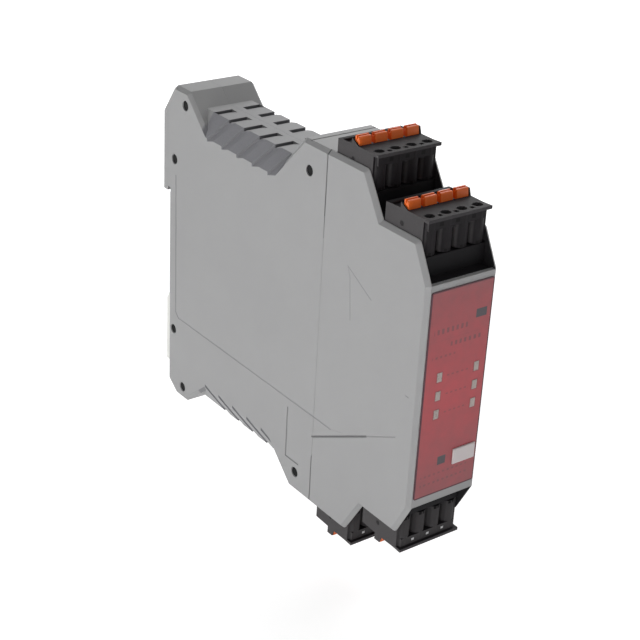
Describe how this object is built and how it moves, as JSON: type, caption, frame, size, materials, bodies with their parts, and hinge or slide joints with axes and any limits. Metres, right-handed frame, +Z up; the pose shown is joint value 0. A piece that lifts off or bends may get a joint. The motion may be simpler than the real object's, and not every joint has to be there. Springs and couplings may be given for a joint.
{
  "type": "safety relay",
  "caption": "Slim rail-mounted safety relay module with a stepped terminal hood, plug-in spring terminals with press levers, louvred vents and a sprung foot latch.",
  "frame": {"origin": "middle of the flat rail seat at the back, on the centre line of the 35 mm rail", "axes": "+Y from the front face towards the rail, +X across the narrow width, +Z up along the rail's height"},
  "size_m": [0.0226, 0.1213, 0.1162],
  "materials": {
    "housing_grey": "fine spark texture",
    "dowel_black": "smooth",
    "label_red": "satin printed film",
    "lens_grey": "clear tinted light pipe",
    "marker_pale": "smooth",
    "latch_white": "smooth",
    "spring_steel": "bright",
    "plug_black": "satin moulded",
    "lever_orange": "satin moulded",
    "header_black": "satin moulded",
    "pin_brass": "tinned ends",
    "board_green": "solder mask over glass laminate",
    "relay_cover": "sealed cover",
    "can_aluminium": "plain can",
    "coil_tape": "wound tape"
  },
  "bodies": {
    "housing": {"left_rear_shell": "housing_grey", "right_rear_shell": "housing_grey", "dowel_pins": "dowel_black", "front_hood": "housing_grey", "front_label": "label_red", "lamp_lens_1": "lens_grey", "lamp_lens_2": "lens_grey", "lamp_lens_3": "lens_grey", "lamp_lens_4": "lens_grey", "lamp_lens_5": "lens_grey", "lamp_lens_6": "lens_grey", "marker_plate": "marker_pale", "latch_spring": "spring_steel", "header_top_rear": "header_black", "header_top_front": "header_black", "header_bottom_rear": "header_black", "header_bottom_front": "header_black", "pins_top_rear": "pin_brass", "pins_top_front": "pin_brass", "pins_bottom_rear": "pin_brass", "pins_bottom_front": "pin_brass", "circuit_board": "board_green", "lamp_board": "board_green", "relay_1": "relay_cover", "relay_2": "relay_cover", "relay_3": "relay_cover", "capacitor": "can_aluminium", "supply_coil": "coil_tape"},
    "foot_latch": {"rail_latch": "latch_white"},
    "plug_top_rear": {"plug_top_rear": "plug_black", "clamps_top_rear": "spring_steel"},
    "lever_top_rear_1": {"lever_top_rear_1": "lever_orange"},
    "lever_top_rear_2": {"lever_top_rear_2": "lever_orange"},
    "lever_top_rear_3": {"lever_top_rear_3": "lever_orange"},
    "lever_top_rear_4": {"lever_top_rear_4": "lever_orange"},
    "plug_top_front": {"plug_top_front": "plug_black", "clamps_top_front": "spring_steel"},
    "lever_top_front_1": {"lever_top_front_1": "lever_orange"},
    "lever_top_front_2": {"lever_top_front_2": "lever_orange"},
    "lever_top_front_3": {"lever_top_front_3": "lever_orange"},
    "lever_top_front_4": {"lever_top_front_4": "lever_orange"},
    "plug_bottom_rear": {"plug_bottom_rear": "plug_black", "clamps_bottom_rear": "spring_steel"},
    "lever_bottom_rear_1": {"lever_bottom_rear_1": "lever_orange"},
    "lever_bottom_rear_2": {"lever_bottom_rear_2": "lever_orange"},
    "lever_bottom_rear_3": {"lever_bottom_rear_3": "lever_orange"},
    "lever_bottom_rear_4": {"lever_bottom_rear_4": "lever_orange"},
    "plug_bottom_front": {"plug_bottom_front": "plug_black", "clamps_bottom_front": "spring_steel"},
    "lever_bottom_front_1": {"lever_bottom_front_1": "lever_orange"},
    "lever_bottom_front_2": {"lever_bottom_front_2": "lever_orange"},
    "lever_bottom_front_3": {"lever_bottom_front_3": "lever_orange"},
    "lever_bottom_front_4": {"lever_bottom_front_4": "lever_orange"}
  },
  "joints": [
    {"name": "foot_latch_slide", "type": "slide", "parent": "housing", "child": "foot_latch", "axis": [0, 0, -1], "range_m": [0, 0.004], "stiffness_N_per_m": 500, "springref_m": -0.001, "deforming": ["latch_spring"]},
    {"name": "plug_top_rear_pull", "type": "slide", "parent": "housing", "child": "plug_top_rear", "axis": [0, 0, 1], "range_m": [0, 0.012]},
    {"name": "lever_top_rear_1_press", "type": "slide", "parent": "plug_top_rear", "child": "lever_top_rear_1", "axis": [0, 0, -1], "range_m": [0, 0.0012], "stiffness_N_per_m": 300, "springref_m": -0.0005},
    {"name": "lever_top_rear_2_press", "type": "slide", "parent": "plug_top_rear", "child": "lever_top_rear_2", "axis": [0, 0, -1], "range_m": [0, 0.0012], "stiffness_N_per_m": 300, "springref_m": -0.0005},
    {"name": "lever_top_rear_3_press", "type": "slide", "parent": "plug_top_rear", "child": "lever_top_rear_3", "axis": [0, 0, -1], "range_m": [0, 0.0012], "stiffness_N_per_m": 300, "springref_m": -0.0005},
    {"name": "lever_top_rear_4_press", "type": "slide", "parent": "plug_top_rear", "child": "lever_top_rear_4", "axis": [0, 0, -1], "range_m": [0, 0.0012], "stiffness_N_per_m": 300, "springref_m": -0.0005},
    {"name": "plug_top_front_pull", "type": "slide", "parent": "housing", "child": "plug_top_front", "axis": [0, 0, 1], "range_m": [0, 0.012]},
    {"name": "lever_top_front_1_press", "type": "slide", "parent": "plug_top_front", "child": "lever_top_front_1", "axis": [0, 0, -1], "range_m": [0, 0.0012], "stiffness_N_per_m": 300, "springref_m": -0.0005},
    {"name": "lever_top_front_2_press", "type": "slide", "parent": "plug_top_front", "child": "lever_top_front_2", "axis": [0, 0, -1], "range_m": [0, 0.0012], "stiffness_N_per_m": 300, "springref_m": -0.0005},
    {"name": "lever_top_front_3_press", "type": "slide", "parent": "plug_top_front", "child": "lever_top_front_3", "axis": [0, 0, -1], "range_m": [0, 0.0012], "stiffness_N_per_m": 300, "springref_m": -0.0005},
    {"name": "lever_top_front_4_press", "type": "slide", "parent": "plug_top_front", "child": "lever_top_front_4", "axis": [0, 0, -1], "range_m": [0, 0.0012], "stiffness_N_per_m": 300, "springref_m": -0.0005},
    {"name": "plug_bottom_rear_pull", "type": "slide", "parent": "housing", "child": "plug_bottom_rear", "axis": [0, 0, -1], "range_m": [0, 0.012]},
    {"name": "lever_bottom_rear_1_press", "type": "slide", "parent": "plug_bottom_rear", "child": "lever_bottom_rear_1", "axis": [0, 0, 1], "range_m": [0, 0.0012], "stiffness_N_per_m": 300, "springref_m": -0.0005},
    {"name": "lever_bottom_rear_2_press", "type": "slide", "parent": "plug_bottom_rear", "child": "lever_bottom_rear_2", "axis": [0, 0, 1], "range_m": [0, 0.0012], "stiffness_N_per_m": 300, "springref_m": -0.0005},
    {"name": "lever_bottom_rear_3_press", "type": "slide", "parent": "plug_bottom_rear", "child": "lever_bottom_rear_3", "axis": [0, 0, 1], "range_m": [0, 0.0012], "stiffness_N_per_m": 300, "springref_m": -0.0005},
    {"name": "lever_bottom_rear_4_press", "type": "slide", "parent": "plug_bottom_rear", "child": "lever_bottom_rear_4", "axis": [0, 0, 1], "range_m": [0, 0.0012], "stiffness_N_per_m": 300, "springref_m": -0.0005},
    {"name": "plug_bottom_front_pull", "type": "slide", "parent": "housing", "child": "plug_bottom_front", "axis": [0, 0, -1], "range_m": [0, 0.012]},
    {"name": "lever_bottom_front_1_press", "type": "slide", "parent": "plug_bottom_front", "child": "lever_bottom_front_1", "axis": [0, 0, 1], "range_m": [0, 0.0012], "stiffness_N_per_m": 300, "springref_m": -0.0005},
    {"name": "lever_bottom_front_2_press", "type": "slide", "parent": "plug_bottom_front", "child": "lever_bottom_front_2", "axis": [0, 0, 1], "range_m": [0, 0.0012], "stiffness_N_per_m": 300, "springref_m": -0.0005},
    {"name": "lever_bottom_front_3_press", "type": "slide", "parent": "plug_bottom_front", "child": "lever_bottom_front_3", "axis": [0, 0, 1], "range_m": [0, 0.0012], "stiffness_N_per_m": 300, "springref_m": -0.0005},
    {"name": "lever_bottom_front_4_press", "type": "slide", "parent": "plug_bottom_front", "child": "lever_bottom_front_4", "axis": [0, 0, 1], "range_m": [0, 0.0012], "stiffness_N_per_m": 300, "springref_m": -0.0005}
  ]
}
